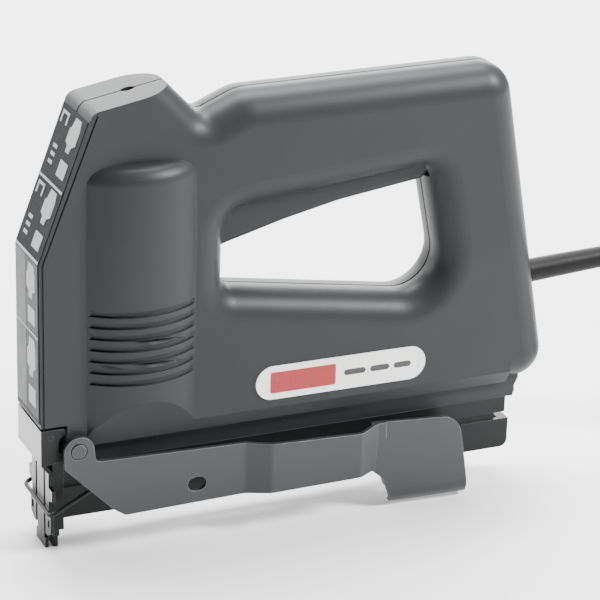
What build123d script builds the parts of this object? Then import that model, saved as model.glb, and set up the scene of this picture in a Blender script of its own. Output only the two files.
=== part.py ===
"""Hand-held electric stapler.

Lengths are in millimetres. While the pieces are shaped, X runs from the front face towards
the cord, Z runs up from the nose's tip and -Y is the tool's left side. On export every piece
is moved so that the origin is the middle of the hand grip.
"""
import math
import os

from build123d import *

# ---- overall placing ----
GRIP = (125.0, 0.0, 167.0)

# ---- housing ----
SIDE_Y = 15.5
WALL = 2.4
FRONT_BOTTOM_Z = 58.2
FRONT_BEND_Z = 128.0
FRONT_SLANT = 0.37
HEAD_TOP_X = 26.0
HEAD_TOP_Z = 188.9
HEAD_TOP_SLOPE = 0.189
HEAD_FRONT_ROUND = 5.0
HANDLE_ROUND = 12.5
OPENING_ROUND = 12.5
BODY_BOTTOM_Z = 46.2
SPINE_Y = 9.0
SPINE_BOTTOM_Z = 38.0
SPINE_FRONT_X = 11.0
SPINE_REAR_X = 217.5
SPINE_POCKET_Y = 6.6
SPINE_FLOOR_Z = 40.4
UNDERCUT_RUN = (15.5, 25.5)
UNDERCUT_FOOT = (9.0, 41.9)
SEAM_WIDTH = 0.8
SEAM_DEPTH = 1.0

# ---- solenoid bulge ----
BULGE_X = 42.6
BULGE_R = 34.15
BULGE_OUT = 9.0
BULGE_TOP_Z = 166.0
BULGE_ROUND = 7.0
GROOVE_TOP_Z = 105.8
GROOVE_PITCH = 4.9
GROOVE_WIDTH = 2.5
GROOVE_DEPTH = 1.2
GROOVE_COUNT = 7
GROOVE_END_Y = 15.9

# ---- labels and small openings ----
LABEL_T = 0.35
LABEL_HALF_Y = 14.4
LABEL_RUN = 60.0
SIDE_LABEL = (131.6, 63.9)
SIDE_LABEL_SIZE = (77.7, 14.9)
SIDE_LABEL_T = 0.4
EDGE_LINE_X = 0.8
EDGE_LINE_WIDTH = 0.7
EDGE_LINE_DEPTH = 0.6
EDGE_LINE_TOP_Z = 187.0
DIAL_X = 41.7
DIAL_HOLE = (2.9, 2.0)

# ---- screws ----
SHELL_SCREWS = [(25.0, 177.0), (66.0, 168.0), (197.0, 174.0), (219.0, 62.0), (128.0, 74.0), (66.0, 66.0)]
SCREW_R = 1.45
BOSS_R = 4.0
SCREW_HEAD_R = 3.0
SCREW_SEAT_Y = 10.0
SCREW_TIP_Y = -12.0

# ---- nose ----
PLATE = 1.5
NOSE_Y = 15.2
GUIDE_X = 4.4
GUIDE_Y = 10.8
TIP_Y = 5.9
TIP_Z = 7.0
PLATE_TOP_Z = 57.0
PLATE_STEP_Z = (41.7, 35.7)
NOSE_PIVOT = (4.2, 53.6)
FRAME_X = (6.2, 11.0)
FRAME_Y = 10.4
FRAME_TOP_Z = 57.8
FRAME_SCREW = (8.4, 48.0)
FRAME_SCREW_R = 1.3
FRAME_SCREW_HEAD_R = 2.3
HINGE_PIN_R = 1.1
BLADE_SLOT_Y = 5.9
STAPLE_SLOT_Z = (13.8, 27.3)

# ---- latch ----
PIVOT = (14.4, 48.1)
BAIL_END = (24.6, 30.8)
BAIL_BAR = (3.15, 19.6)
WIRE_R = 0.9
BAIL_Y = 16.9
LEVER_OUT_Y = 20.0
LEVER_T = 1.8
LEVER_STEP = 5.2
LEVER_BEND = 4.0
TAB_LEAN = 5.7
TAB_SPLAY = 3.4
TAB_CURL_R = 8.0
TAB_CURL = 70.0
STUD_R = 3.0
STUD_FOOT_Y = 10.6
STUD_RING = 0.7
BAIL_HOLE_SKIN = 0.4
LINK_EYE_R = (6.1, 4.0)
WINDOW = (65.6, 25.4)
WINDOW_SIZE = (8.2, 6.3)
RUN_FIT = 0.06

# ---- solenoid ----
COIL_R = 19.0
BOBBIN_R = 10.5
BORE_R = 8.6
ARMATURE_R = 8.0
YOKE_X = (19.5, 65.7)
YOKE_Y = 11.2
YOKE_Z = (80.0, 142.0)
YOKE_T = 4.0
ROD_R = 2.5
ARM_Z = (70.0, 78.0)
COIL_Z = (86.0, 136.0)
FLANGE_T = 2.0
ARMATURE_Z = (112.0, 176.0)
CAP_R = 12.0
CAP_TOP_Z = 178.5
BLADE_X = (6.3, 7.5)
BLADE_Y = 5.6

# ---- electrics ----
BOARD_X = (90.0, 188.0)
BOARD_Y = 10.5
BOARD_Z = (166.0, 167.6)
ADJUSTER_BOARD_Z = (180.6, 182.2)
SWITCH_X = 105.0
SWITCH_Z = (156.5, 163.5)
PLUNGER_R = 1.5
TERMINALS_X = (191.0, 209.0)
TERMINALS_Z = (118.0, 128.0)
CLAMP_X = (-24.0, -16.0)
CLAMP_SCREW = (-20.0, 6.6)
CLAMP_SCREW_R = 1.3
CORE_WIRE_R = 0.9
COIL_WIRE_R = 0.6

# ---- trigger ----
TRIGGER_PIVOT = (170.0, 154.0)
TRIGGER_Y = 7.5
TRIGGER_WALL = 1.8
TRIGGER_EDGE = 3.0
TRIGGER_PIN_R = 2.0
TRIGGER_GAP = 0.4
PIN_END_Y = 12.5

# ---- magazine ----
MAG_X = (11.3, 216.5)
MAG_Y = 8.0
MAG_Z = (13.5, 27.0)
MAG_WALL = 1.2
RAIL_END_X = 213.9
RAIL_Y = 9.1
CORE_Y = 4.6
CORE_Z = (14.7, 25.8)
PUSHER_LENGTH = 18.0
CATCH_Z = 37.0
CATCH_SLOT_X = (198.0, 210.5)
CATCH_SLOT_Y = (2.0, 3.0)
MAG_SCREW = (67.6, 25.0)
MAG_SCREW_R = 1.4
KEY_X = (70.0, 120.0, 170.0)
KEY_LENGTH = 20.0
GUIDE_Z = 20.0
GUIDE_R = 1.25
GUIDE_END_X = 211.0

# ---- cord ----
CORD_R = 3.6
CORD_TILT = 3.2
SLEEVE_LENGTH = 56.0
SLEEVE_R = (5.2, 4.3)
HANK_X = (338.0, 460.8)
HANK_WIDTH = 67.2
HANK_HOLLOW = 38.4
HANK_HEIGHT = 28.8
HANK_EDGE = 4.0
TIE_WIDTH = 9.0
TIE_T = 1.2
PLUG_HALF_HEIGHT = 6.85

CORD_EXIT = Pos(225.0, 0, 91.87) * Rot(0, -CORD_TILT, 0)


# ---------------------------------------------------------------- helpers
def box(x0, x1, y0, y1, z0, z1):
    return Pos(x0, y0, z0) * Box(x1 - x0, y1 - y0, z1 - z0, align=(Align.MIN, Align.MIN, Align.MIN))


def both(shape):
    """The shape and its mirror image on the other side of the tool."""
    return shape + mirror(shape, about=Plane.XZ)


def rod_x(y, z, r, x0, x1):
    return Pos((x0 + x1) / 2, y, z) * Rot(0, 90, 0) * Cylinder(r, x1 - x0)


def rod_y(x, z, r, y0, y1):
    return Pos(x, (y0 + y1) / 2, z) * Rot(90, 0, 0) * Cylinder(r, y1 - y0)


def rod_z(x, y, r, z0, z1):
    return Pos(x, y, (z0 + z1) / 2) * Cylinder(r, z1 - z0)


def outline(points, radii=None):
    if radii is None:
        return make_face(Polyline(*points, close=True))
    return make_face(FilletPolyline(*points, radius=radii, close=True))


def stand(face, y0, y1):
    """A face drawn in X and Z, thickened from y0 to y1."""
    return Pos(0, y1, 0) * extrude(Plane.XZ * face, amount=y1 - y0)


def slab(points, y0, y1, radii=None):
    return stand(outline(points, radii), y0, y1)


def tube_along(points, radii, r):
    """A round tube along straight runs joined by tangent arcs."""
    path = FilletPolyline(*points, radius=radii)
    start = Plane(origin=path @ 0, z_dir=path % 0)
    return sweep(start * Circle(r), path=path)


def bend_radii(points):
    """Bend radius at each inner point: 0.45 of the shorter run over tan(half the turn)."""
    radii = []
    for a, b, c in zip(points, points[1:], points[2:]):
        run_in = Vector(*b) - Vector(*a)
        run_out = Vector(*c) - Vector(*b)
        half_turn = math.radians(run_in.get_angle(run_out)) / 2
        radii.append(0.45 * min(run_in.length, run_out.length) / math.tan(half_turn))
    return radii


def spring(start, direction, length, r, wire, turns):
    """A helical spring whose wire stays inside the given length."""
    coil_length = length - 2 * wire
    axis = Vector(*direction)
    centre = Vector(*start) + axis * wire
    path = Helix(pitch=coil_length / turns, height=coil_length, radius=r, center=centre, direction=direction)
    return sweep(Plane(origin=path @ 0, z_dir=path % 0) * Circle(wire / 2), path=path, is_frenet=True)


# ---------------------------------------------------------------- housing
def undercut(inset):
    """What is cut away under the sloping lower edge of both sides."""
    run_y, run_z = UNDERCUT_RUN
    length = math.hypot(run_y, run_z)
    y0 = UNDERCUT_FOOT[0] - inset * run_z / length
    z0 = UNDERCUT_FOOT[1] + inset * run_y / length
    reach = 2.0
    far_z = z0 + reach * run_z
    points = [(y0, z0), (y0 + reach * run_y, far_z), (60, far_z), (60, 20), (y0, 20)]
    wedge = extrude(Plane.YZ * outline(points), amount=260)
    return both(Pos(-10, 0, 0) * wedge)


def bulge(inset):
    """One shallow barrel on each side, over the solenoid."""
    r = BULGE_R - inset
    centre_y = BULGE_R - BULGE_OUT - SIDE_Y
    top = BULGE_TOP_Z - inset
    barrel = Pos(BULGE_X, centre_y, 0) * Cylinder(r, top, align=(Align.CENTER, Align.CENTER, Align.MIN))
    barrel = fillet(barrel.edges().sort_by(Axis.Z)[-1], BULGE_ROUND - inset / 2)
    return both(barrel & box(0, 90, -40, -10, BODY_BOTTOM_Z, 200))


def body(inset):
    """The closed outer shape of the housing, taken in by inset on every face."""
    half = SIDE_Y - inset
    slant_top = 215.0
    upper_points = [
        (0, 62),
        (0, FRONT_BEND_Z),
        (FRONT_SLANT * (slant_top - FRONT_BEND_Z), slant_top),
        (36.9, slant_top),
        (69.8, 180.7),
        (87.5, 188.4),
        (206.5, 190.2),
        (233.3, BODY_BOTTOM_Z),
        (205, BODY_BOTTOM_Z),
        (205, 62),
    ]
    upper_radii = [0, 0, 0, 0, 5, 20, 14, 13, 0, 0]
    upper_face = outline(upper_points, upper_radii)
    opening_points = [(80.2, 106.0), (182.3, 90.0), (170.4, 148.3), (80.2, 138.8)]
    opening_face = outline(opening_points, [6, 16, 5, 10])
    lower_points = [(0, FRONT_BOTTOM_Z), (0, 76), (212, 76), (212, BODY_BOTTOM_Z)]
    lower_points += [(SPINE_FRONT_X, BODY_BOTTOM_Z), (SPINE_FRONT_X, FRONT_BOTTOM_Z)]
    lower_face = outline(lower_points)
    if inset:
        upper_face = offset(upper_face, amount=-inset, kind=Kind.INTERSECTION)
        opening_face = offset(opening_face, amount=inset)
        lower_face = offset(lower_face, amount=-inset, kind=Kind.INTERSECTION)

    upper = stand(upper_face, -half, half)
    on_side = [e for e in upper.edges() if abs(abs(e.center().Y) - half) < 0.01]
    grip_edges = [
        e for e in on_side
        if e.center().X > 38 and not (50 < e.center().Z < 66 and e.center().X < 212)
    ]
    upper = fillet(grip_edges, HANDLE_ROUND - inset)
    upper = upper - stand(opening_face, -half - 1, half + 1)
    rim = [
        e for e in upper.edges()
        if abs(abs(e.center().Y) - half) < 0.01 and 70 < e.center().X < 190 and 84 < e.center().Z < 155
    ]
    upper = fillet(rim, OPENING_ROUND - inset)

    shape = upper + stand(lower_face, -half, half) + bulge(inset) - undercut(inset)
    drop = inset * math.hypot(1, HEAD_TOP_SLOPE)
    front_z = HEAD_TOP_Z - drop - HEAD_TOP_SLOPE * (HEAD_TOP_X + 10)
    rear_z = front_z + HEAD_TOP_SLOPE * 90
    return shape - slab([(-10, front_z), (80, rear_z), (80, 240), (-10, 240)], -40, 40)


def spine():
    """The narrow foot under the body, between the sloping sides."""
    points = [
        (SPINE_FRONT_X, SPINE_BOTTOM_Z),
        (SPINE_REAR_X, SPINE_BOTTOM_Z),
        (SPINE_REAR_X + 0.4, 42.6),
        (SPINE_REAR_X + 2.2, BODY_BOTTOM_Z + 0.2),
        (SPINE_REAR_X + 2.2, 52),
        (SPINE_FRONT_X, 52),
    ]
    return slab(points, -SPINE_Y, SPINE_Y) - undercut(0)


def cooling_grooves():
    centre_y = BULGE_R - BULGE_OUT - SIDE_Y
    ring = Cylinder(BULGE_R + 2, GROOVE_WIDTH) - Cylinder(BULGE_R - GROOVE_DEPTH, GROOVE_WIDTH)
    grooves = Part()
    for k in range(GROOVE_COUNT):
        grooves += Pos(BULGE_X, centre_y, GROOVE_TOP_Z - k * GROOVE_PITCH) * ring
    return both(grooves & box(0, 90, -40, -GROOVE_END_Y, 60, 120))


def front_grooves():
    """The thin line on each side just behind the front edge."""
    bottom_z = FRONT_BOTTOM_Z - 1.2
    top_x = EDGE_LINE_X + 1.05 * FRONT_SLANT * (EDGE_LINE_TOP_Z - FRONT_BEND_Z)
    front = [(EDGE_LINE_X, bottom_z), (EDGE_LINE_X, FRONT_BEND_Z), (top_x, EDGE_LINE_TOP_Z)]
    rear = [(x + EDGE_LINE_WIDTH, z) for x, z in reversed(front)]
    return both(slab(front + rear, -SIDE_Y - 1.5, -SIDE_Y + EDGE_LINE_DEPTH))


def shell_seam(outer):
    """The line all round, above the nose, where the two shells meet."""
    middle = section(outer, Plane.XZ)
    rim = middle - offset(middle, amount=-SEAM_DEPTH, kind=Kind.INTERSECTION)
    groove = extrude(rim, amount=SEAM_WIDTH / 2, both=True)
    return groove & box(-10, 260, -SEAM_WIDTH, SEAM_WIDTH, FRONT_BOTTOM_Z + 1, 240)


def yoke_seats():
    """Ribs under and over the solenoid's iron frame."""
    low, high = YOKE_Z
    seats = both(box(YOKE_X[0], YOKE_X[1], -24, -8, low - 3, low))
    return seats + both(box(YOKE_X[0], YOKE_X[1], -24, -11.5, high, high + 2.5))


def board_seats():
    """Ledges for the board, the adjuster's board, the terminals and the switch's spring."""
    seats = Part()
    for x in (96, 180):
        seats += both(box(x, x + 5, -SIDE_Y, -9.0, BOARD_Z[0] - 2, BOARD_Z[0]))
    seats += both(box(33, 51, -SIDE_Y, -6, CAP_TOP_Z + 0.6, ADJUSTER_BOARD_Z[0]))
    seats += both(box(190, 210, -SIDE_Y, -8, TERMINALS_Z[0] + 1, TERMINALS_Z[1] - 1))
    return seats + box(82, 94, -SIDE_Y, SIDE_Y, 153, 155.5)


def housing_ribs():
    """Bosses, ribs and seats inside the housing, before trimming to its outer shape."""
    pivot_x, pivot_z = TRIGGER_PIVOT
    nose_seat = box(SPINE_FRONT_X, 22, -SIDE_Y, SIDE_Y, 41, FRONT_BOTTOM_Z)
    ribs = yoke_seats() + board_seats() + nose_seat
    ribs += both(rod_y(pivot_x, pivot_z, BOSS_R, -SIDE_Y + 1, -TRIGGER_Y - TRIGGER_GAP))
    ribs += CORD_EXIT * box(CLAMP_X[0], CLAMP_X[1], -SIDE_Y, SIDE_Y, -6, -0.3)
    for x, z in SHELL_SCREWS:
        ribs += rod_y(x, z, BOSS_R, -SIDE_Y + 1, SIDE_Y - 0.2)
    return ribs


def trigger_openings():
    """The slot that the trigger moves in, and its pin's hole."""
    slot = TRIGGER_Y + TRIGGER_GAP
    points = [(70.5, 120.6), (88, 120.6), (110, 130.8), (170, 141.4), (177.4, 148.6), (177.4, 160.2)]
    points += [(96, 160.2), (96, 152.9), (70.5, 152.9)]
    return slab(points, -slot, slot) + rod_y(*TRIGGER_PIVOT, TRIGGER_PIN_R, -PIN_END_Y, PIN_END_Y)


def nose_openings():
    """The driver's way out, the latch studs' holes and the frame screws' holes."""
    x, y = 18.0, FRAME_SCREW[0]
    ways = box(GUIDE_X - 0.4, 53, -6.4, 6.4, 41, 79)
    ways += both(rod_y(*PIVOT, STUD_R, -NOSE_Y - 1, -STUD_FOOT_Y))
    return ways + both(rod_x(-y, FRAME_SCREW[1], FRAME_SCREW_R, 5, x))


def cord_openings():
    """The bend guard's seat, the cord's way in and the clamp screws' holes."""
    ways = rod_x(0, 0, SLEEVE_R[0], -12, 4) + rod_x(0, 0, CORD_R, -30, 0)
    x, y = CLAMP_SCREW
    return CORD_EXIT * (ways + both(rod_z(x, -y, CLAMP_SCREW_R, -5, 0)))


def screw_openings():
    ways = Part()
    for x, z in SHELL_SCREWS:
        ways += rod_y(x, z, SCREW_R, SCREW_TIP_Y, SCREW_SEAT_Y)
        ways += rod_y(x, z, SCREW_HEAD_R + 0.3, SCREW_SEAT_Y, SIDE_Y + 12)
    return ways


def catch_opening():
    """The stepped slot for the magazine's catch, shared with the rail."""
    (x0, x1), (y0, y1) = CATCH_SLOT_X, CATCH_SLOT_Y
    slot = box(x0, RAIL_END_X + 6, -y0, y0, SPINE_BOTTOM_Z, CATCH_Z + 2.2)
    return slot + box(x1, RAIL_END_X + 8, -y1, y1, SPINE_BOTTOM_Z, CATCH_Z + 3.0)


def housing():
    outer = body(0) + spine()
    front_edge = [
        e for e in outer.edges()
        if abs(e.center().Y) < 0.1 and 186 < e.center().Z < 190 and e.center().X < 24 and e.length > 20
    ]
    outer = fillet(front_edge, HEAD_FRONT_ROUND)
    hollow = body(WALL) + box(52, 214, -SPINE_POCKET_Y, SPINE_POCKET_Y, SPINE_FLOOR_Z, 52)
    pivot_boss = rod_y(*PIVOT, 4.5, -NOSE_Y, -8) & box(SPINE_FRONT_X, 30, -20, 0, 0, 90)
    shell = outer - hollow + (housing_ribs() & outer) + both(pivot_boss)
    shell = shell - trigger_openings() - nose_openings() - cord_openings() - screw_openings()
    shell = shell - rail_keys() - catch_opening()
    shell -= Pos(DIAL_X, 0, 185) * extrude(Ellipse(*DIAL_HOLE), amount=20)
    return shell - cooling_grooves() - front_grooves() - shell_seam(outer)


def left_shell(whole):
    return whole & box(-20, 260, -60, 0, 0, 240)


def right_shell(whole):
    return whole & box(-20, 260, 0, 60, 0, 240)


def shell_screws():
    screws = []
    for x, z in SHELL_SCREWS:
        shank = rod_y(x, z, SCREW_R, SCREW_TIP_Y, SCREW_SEAT_Y)
        head = rod_y(x, z, SCREW_HEAD_R, SCREW_SEAT_Y, SCREW_SEAT_Y + 2.2)
        slot = box(x - 2.0, x + 2.0, SCREW_SEAT_Y + 1.2, SCREW_SEAT_Y + 3, z - 0.4, z + 0.4)
        cross = box(x - 0.4, x + 0.4, SCREW_SEAT_Y + 1.2, SCREW_SEAT_Y + 3, z - 2.0, z + 2.0)
        screws.append(shank + head - slot - cross)
    return Compound(screws)


def front_label():
    """Printed film down the front face, over the bend."""
    lean = math.atan(FRONT_SLANT)
    foot_z = FRONT_BOTTOM_Z + 1.8
    top = (LABEL_RUN * math.sin(lean), FRONT_BEND_Z + LABEL_RUN * math.cos(lean))
    top_out = (top[0] - LABEL_T * math.cos(lean), top[1] + LABEL_T * math.sin(lean))
    bend_out = (-LABEL_T, FRONT_BEND_Z + LABEL_T * math.tan(lean / 2))
    points = [(0, foot_z), (0, FRONT_BEND_Z), top, top_out, bend_out, (-LABEL_T, foot_z)]
    return slab(points, -LABEL_HALF_Y, LABEL_HALF_Y)


def side_label(side):
    face = Pos(*SIDE_LABEL) * SlotOverall(*SIDE_LABEL_SIZE)
    plate = stand(face, -SIDE_Y - SIDE_LABEL_T, -SIDE_Y)
    return plate if side < 0 else mirror(plate, about=Plane.XZ)


# ---------------------------------------------------------------- nose
def nose_frame():
    """The fixed guide behind the swinging nose plate, with the driver's channel in its front."""
    x0, x1 = FRAME_X
    px, pz = NOSE_PIVOT
    y, z = FRAME_SCREW
    lug_y = 13.4
    block = box(x0, x1, -FRAME_Y, FRAME_Y, TIP_Z, FRAME_TOP_Z)
    block += box(x0, x1 - 1.2, -TIP_Y, TIP_Y, 0, TIP_Z + 1)
    block -= box(x1 - 2.0, x1, -FRAME_Y - 1, FRAME_Y + 1, TIP_Z - 1, 9.6)
    lug = rod_y(px, pz, 2 * HINGE_PIN_R, -lug_y, -FRAME_Y + 0.1)
    lug += box(px, x1, -lug_y, -FRAME_Y + 0.1, pz - 2 * HINGE_PIN_R, pz + 2 * HINGE_PIN_R)
    block += both(lug)
    block -= rod_y(px, pz, HINGE_PIN_R, -14, 14)
    block -= box(x0 - 1, x0 + 1.7, -BLADE_SLOT_Y, BLADE_SLOT_Y, -1, 60)
    block -= box(x0 - 1, x1 + 1, -BLADE_SLOT_Y - 0.5, BLADE_SLOT_Y + 0.5, 44, 60)
    block -= box(x0, x1 + 1, -BLADE_SLOT_Y - 0.1, BLADE_SLOT_Y + 0.1, *STAPLE_SLOT_Z)
    block -= both(rod_x(-y, z, FRAME_SCREW_R, 5, 18))
    return block - both(rod_x(-y, z, FRAME_SCREW_HEAD_R + 0.1, 5, x0 + 1.6))


def frame_screws():
    x0 = FRAME_X[0]
    y, z = FRAME_SCREW
    one = rod_x(-y, z, FRAME_SCREW_R, x0 + 1.6, 18) + rod_x(-y, z, FRAME_SCREW_HEAD_R, x0 + 0.3, x0 + 1.6)
    return Compound([one, mirror(one, about=Plane.XZ)])


def nose_plate():
    step_high, step_low = PLATE_STEP_Z
    profile = [
        (0, PLATE_TOP_Z), (0, step_high), (GUIDE_X, step_low), (GUIDE_X, 0),
        (GUIDE_X + PLATE, 0), (GUIDE_X + PLATE, step_low + 0.6), (PLATE, step_high + 0.5),
        (PLATE, PLATE_TOP_Z),
    ]
    bent = slab(profile, -NOSE_Y, NOSE_Y)
    front_shape = [
        (-NOSE_Y, PLATE_TOP_Z), (-NOSE_Y, step_high), (-GUIDE_Y, step_low), (-GUIDE_Y, 29.6),
        (-15, 29.6), (-15, 25), (-GUIDE_Y, 23.5), (-GUIDE_Y, 18.5), (-13, 16.6), (-13, 9.5),
        (-9.0, TIP_Z), (-TIP_Y, TIP_Z), (-TIP_Y, 0),
    ]
    front_shape += [(-y, z) for y, z in reversed(front_shape)]
    plate = bent & Pos(-2, 0, 0) * extrude(Plane.YZ * outline(front_shape), amount=14)
    slot_face = Plane.YZ * (Pos(-5.2, 19.9) * SlotOverall(31.4, 2.0, rotation=90))
    plate -= both(Pos(GUIDE_X - 1, 0, 0) * extrude(slot_face, amount=4))
    plate -= both(box(GUIDE_X - 1, GUIDE_X + 3, -11.7, -9.3, 11.2, 14.8))
    flange_points = [
        (0.2, step_high - 0.3), (10.2, step_high + 1.0), (10.2, 45), (7.2, 47), (7.2, 52.6), (10.2, 54.4),
        (10.2, PLATE_TOP_Z), (0.2, PLATE_TOP_Z),
    ]
    flange = slab(flange_points, -NOSE_Y, -NOSE_Y + PLATE, radii=[0, 0, 0.8, 1.2, 1.2, 0.8, 1.2, 0])
    plate += both(flange)
    return plate - rod_y(*NOSE_PIVOT, HINGE_PIN_R + RUN_FIT, -16, 16)


def nose_hinge_pins():
    pin = rod_y(*NOSE_PIVOT, HINGE_PIN_R, -NOSE_Y - 0.1, -FRAME_Y + 0.2)
    return Compound([pin, mirror(pin, about=Plane.XZ)])


# ---------------------------------------------------------------- latch
def lever_outline():
    points = [
        (8.3, 48.1), (8.3, 41.0), (29.0, 20.0), (34.3, 16.4), (87, 17.5), (97, 18.1),
        (138, 18.6), (145, 18.6),
        (150.5, 14.0), (155.7, 0.0), (190.1, 0.0), (188.0, 20.0), (185.7, 38.0), (148, 39.4), (138, 38.8),
        (97, 40.4), (86, 40.5), (21.5, 42.4), (20.5, 54.2), (8.3, 54.2),
    ]
    radii = [0, 2, 1, 3, 20, 20, 20, 2, 4, 2, 2, 20, 9, 12, 20, 20, 20, 2.5, 6, 6]
    return outline(points, radii)


def thumb_tab(length):
    """The leaning tab's sheet, curled inwards along its lower edge."""
    half = LEVER_T / 2
    curl = (TAB_CURL_R - half, -20.4)
    outer = CenterArc(curl, TAB_CURL_R, 180, TAB_CURL)
    inner = CenterArc(curl, TAB_CURL_R - LEVER_T, 180, TAB_CURL)
    edges = [outer, inner, Line(outer @ 1, inner @ 1)]
    edges += [Polyline(outer @ 0, (-half, 20), (half, 20), inner @ 0)]
    sheet = extrude(Plane.YZ * make_face(edges), amount=length)
    return Rot(-TAB_LEAN, 0, 0) * Rot(0, 0, -TAB_SPLAY) * Pos(-2.5, 0, 0) * sheet


def latch_lever():
    """Pressed sheet lever: flat blade, stepped-out middle and a splayed thumb tab."""
    y0 = -LEVER_OUT_Y
    out_y = y0 - LEVER_STEP
    tab_y = y0 + 0.8
    outer = [(0, y0), (87, y0), (97, out_y), (138, out_y), (148, tab_y), (152, tab_y)]
    inner = [(x, y + LEVER_T) for x, y in reversed(outer)]
    bends = [0, LEVER_BEND, LEVER_BEND, LEVER_BEND, LEVER_BEND, 0]
    strip = extrude(outline(outer + inner, bends + bends), amount=70)
    tab = Pos(148, tab_y + LEVER_T / 2, 29) * thumb_tab(52.5)
    lever = (strip + tab) & stand(lever_outline(), -40, -10)
    lever -= rod_y(*PIVOT, STUD_R + RUN_FIT, -30, -10)
    lever -= rod_y(*PIVOT, STUD_R + STUD_RING, y0 - 1, y0 + 0.6)
    lever -= rod_y(*BAIL_END, WIRE_R + RUN_FIT, y0 + BAIL_HOLE_SKIN, -10)
    window = Pos(*WINDOW) * SlotOverall(*WINDOW_SIZE)
    return lever - stand(window, -30, -10)


def lever_stud():
    shank = rod_y(*PIVOT, STUD_R, -LEVER_OUT_Y - 0.3, -STUD_FOOT_Y)
    return shank + rod_y(*PIVOT, STUD_R + 1, -17.9, -NOSE_Y)


def far_link():
    """The short link that carries the wire's other end."""
    px, pz = PIVOT
    bx, bz = BAIL_END
    top_r, low_r = LINK_EYE_R
    y0, y1 = LEVER_OUT_Y - LEVER_T, LEVER_OUT_Y
    link = rod_y(px, pz, top_r, y0, y1) + rod_y(bx, bz, low_r, y0, y1)
    length = math.hypot(bx - px, bz - pz)
    across = ((bz - pz) / length, (px - bx) / length)
    points = []
    for x, z, r in ((px, pz, top_r), (bx, bz, low_r), (bx, bz, -low_r), (px, pz, -top_r)):
        points.append((x + r * across[0], z + r * across[1]))
    link += slab(points, y0, y1)
    link -= rod_y(px, pz, STUD_R + RUN_FIT, 10, 30)
    return link - rod_y(bx, bz, WIRE_R + RUN_FIT, 10, y1 - BAIL_HOLE_SKIN)


def wire_bail():
    bx, bz = BAIL_END
    fx, fz = BAIL_BAR
    end_y = LEVER_OUT_Y - BAIL_HOLE_SKIN - 0.1
    points = [
        (bx, -end_y, bz), (bx, -BAIL_Y, bz), (fx, -BAIL_Y, fz),
        (fx, BAIL_Y, fz), (bx, BAIL_Y, bz), (bx, end_y, bz),
    ]
    return tube_along(points, [1.0, 2.2, 2.2, 1.0], WIRE_R)


# ---------------------------------------------------------------- solenoid and driver
def solenoid_coil():
    z0, z1 = COIL_Z
    return rod_z(BULGE_X, 0, COIL_R, z0, z1) - rod_z(BULGE_X, 0, BOBBIN_R, z0, z1)


def coil_bobbin():
    z0, z1 = COIL_Z
    bobbin = rod_z(BULGE_X, 0, BOBBIN_R, z0 - FLANGE_T, z1 + FLANGE_T)
    bobbin += rod_z(BULGE_X, 0, COIL_R + 1, z0 - FLANGE_T, z0)
    bobbin += rod_z(BULGE_X, 0, COIL_R + 1, z1, z1 + FLANGE_T)
    return bobbin - rod_z(BULGE_X, 0, BORE_R, z0 - FLANGE_T, z1 + FLANGE_T)


def solenoid_yoke():
    x0, x1 = YOKE_X
    z0, z1 = YOKE_Z
    side_t = 2.5
    frame = box(x0, x1, -YOKE_Y, YOKE_Y, z0, z1)
    frame -= box(x0 + side_t, x1 - side_t, -YOKE_Y, YOKE_Y, z0 + YOKE_T, z1 - YOKE_T)
    frame -= rod_z(BULGE_X, 0, ROD_R + 0.7, z0, z0 + YOKE_T)
    return frame - rod_z(BULGE_X, 0, BORE_R, z1 - YOKE_T, z1)


def armature():
    low, high = ARMATURE_Z
    return rod_z(BULGE_X, 0, ARMATURE_R, low, high) + rod_z(BULGE_X, 0, CAP_R, high, CAP_TOP_Z)


def push_rod():
    return rod_z(BULGE_X, 0, ROD_R, ARM_Z[1], ARMATURE_Z[0])


def return_spring():
    return spring((BULGE_X, 0, YOKE_Z[1]), (0, 0, 1), ARMATURE_Z[1] - YOKE_Z[1], 9.6, 1.4, 8)


def driver_carrier():
    z0, z1 = ARM_Z
    arm = box(5.5, 50, -6, 6, z0, z1)
    arm = fillet(arm.edges().filter_by(Axis.Z), 1.5)
    return arm - box(*BLADE_X, -BLADE_Y, BLADE_Y, z0, z0 + 4)


def driver_blade():
    return box(*BLADE_X, -BLADE_Y, BLADE_Y, 27, ARM_Z[0] + 4)


def rubber_bumper():
    pad = box(14, 48, -5.8, 5.8, 41, 44.5)
    return fillet(pad.edges().filter_by(Axis.Z), 1.5)


# ---------------------------------------------------------------- electrics
def circuit_board():
    return box(*BOARD_X, -BOARD_Y, BOARD_Y, *BOARD_Z)


def capacitor():
    """A lying can on the board, with the foot that it is glued down by."""
    r = 6.5
    can = rod_x(0, BOARD_Z[1] + r + 0.3, r, 146, 170)
    return fillet(can.edges(), 0.8) + box(150, 153, -1, 1, BOARD_Z[1], BOARD_Z[1] + 0.6)


def thyristor():
    """A flat power package with its screw tab."""
    z0 = BOARD_Z[1]
    half = 5.2
    package = box(120, 131, -half, half, z0, z0 + 4.5)
    tab = box(131, 137, -half, half, z0, z0 + 1.3)
    return package + tab - rod_z(134.5, 0, 1.7, z0 - 1, z0 + 3)


def choke():
    low, high = BOARD_Z[1], BOARD_Z[1] + 8.9
    ring = rod_z(104, 0, 8.5, low, high) - rod_z(104, 0, 3.6, low, high)
    return fillet(ring.edges(), 1.6)


def adjuster_board():
    return box(31, 53, -8.5, 8.5, *ADJUSTER_BOARD_Z)


def adjuster_body():
    z0 = ADJUSTER_BOARD_Z[1]
    half = 4.5
    case = box(DIAL_X - half, DIAL_X + half, -half, half, z0, z0 + 4)
    return case - rod_z(DIAL_X, 0, PLUNGER_R + RUN_FIT, z0 + 1, z0 + 5)


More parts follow.
